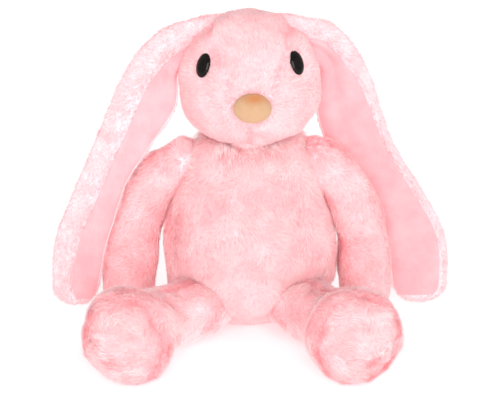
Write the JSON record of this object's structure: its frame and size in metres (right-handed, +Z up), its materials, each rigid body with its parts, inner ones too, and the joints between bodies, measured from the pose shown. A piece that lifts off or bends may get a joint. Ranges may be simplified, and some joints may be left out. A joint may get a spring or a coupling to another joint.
{
  "type": "stuffed bunny rabbit",
  "caption": "Sitting plush rabbit with long drooping ears, jointed head, ears, arms, legs and tail, in short pile fur fabric.",
  "frame": {"origin": "a point of the flat of the seat, where the torso rests on the floor", "axes": "+Z up from the seat to the top of the head, the face and feet look along -Y, +X to the right as seen from the front"},
  "size_m": [0.348, 0.248, 0.289],
  "materials": {
    "fur_fabric": "short soft pile fur fabric, pale pink",
    "ear_lining": "smooth short velour, pink",
    "nose_velour": "short velour, tan",
    "stuffing": "white polyester fibre fill",
    "eye_plastic": "glossy black",
    "washer_plastic": "natural white"
  },
  "bodies": {
    "torso": {"torso_front_panel": "fur_fabric", "torso_left_back_panel": "fur_fabric", "torso_right_back_panel": "fur_fabric", "torso_stuffing": "stuffing"},
    "neck": {"neck_stuffing": "stuffing"},
    "head": {"head_gusset": "fur_fabric", "head_left_side_panel": "fur_fabric", "head_right_side_panel": "fur_fabric", "head_stuffing": "stuffing", "nose_cover": "nose_velour", "nose_pad": "stuffing", "left_eye": "eye_plastic", "right_eye": "eye_plastic", "left_eye_washer": "washer_plastic", "right_eye_washer": "washer_plastic"},
    "left_ear": {"left_ear_back": "fur_fabric", "left_ear_lining": "ear_lining"},
    "right_ear": {"right_ear_back": "fur_fabric", "right_ear_lining": "ear_lining"},
    "left_arm": {"left_arm_front_panel": "fur_fabric", "left_arm_back_panel": "fur_fabric", "left_arm_stuffing": "stuffing"},
    "right_arm": {"right_arm_front_panel": "fur_fabric", "right_arm_back_panel": "fur_fabric", "right_arm_stuffing": "stuffing"},
    "left_leg": {"left_leg_outer_panel": "fur_fabric", "left_leg_inner_panel": "fur_fabric", "left_foot_sole": "fur_fabric", "left_leg_stuffing": "stuffing"},
    "right_leg": {"right_leg_outer_panel": "fur_fabric", "right_leg_inner_panel": "fur_fabric", "right_foot_sole": "fur_fabric", "right_leg_stuffing": "stuffing"},
    "tail": {"tail_cover": "fur_fabric", "tail_stuffing": "stuffing"}
  },
  "joints": [
    {"name": "head_turn", "type": "hinge", "parent": "torso", "child": "neck", "pos_m": [0, -0.005, 0.176], "axis": [0, 0, 1], "range_deg": [-20, 20], "stiffness_Nm_per_rad": 0.4},
    {"name": "head_nod", "type": "hinge", "parent": "neck", "child": "head", "pos_m": [0, -0.005, 0.176], "axis": [1, 0, 0], "range_deg": [-12, 15], "stiffness_Nm_per_rad": 2},
    {"name": "left_ear_lift", "type": "hinge", "parent": "head", "child": "left_ear", "pos_m": [-0.044, -0.006, 0.264], "axis": [0, 1, 0], "range_deg": [0, 85]},
    {"name": "right_ear_lift", "type": "hinge", "parent": "head", "child": "right_ear", "pos_m": [0.044, -0.004, 0.264], "axis": [0, -1, 0], "range_deg": [0, 85]},
    {"name": "left_arm_raise", "type": "hinge", "parent": "torso", "child": "left_arm", "pos_m": [-0.058, 0.003, 0.152], "axis": [0, 1, 0], "range_deg": [0, 85]},
    {"name": "right_arm_raise", "type": "hinge", "parent": "torso", "child": "right_arm", "pos_m": [0.058, 0.003, 0.152], "axis": [0, -1, 0], "range_deg": [0, 85]},
    {"name": "left_leg_lift", "type": "hinge", "parent": "torso", "child": "left_leg", "pos_m": [-0.042, -0.04, 0.036], "axis": [-0.8178, 0.5755, 0], "range_deg": [-15, 40]},
    {"name": "right_leg_lift", "type": "hinge", "parent": "torso", "child": "right_leg", "pos_m": [0.042, -0.04, 0.036], "axis": [-0.8833, -0.4689, 0], "range_deg": [-15, 40]},
    {"name": "tail_wag", "type": "hinge", "parent": "torso", "child": "tail", "pos_m": [0, 0.058, 0.045], "axis": [0, 0, 1], "range_deg": [-20, 20], "stiffness_Nm_per_rad": 0.05}
  ]
}
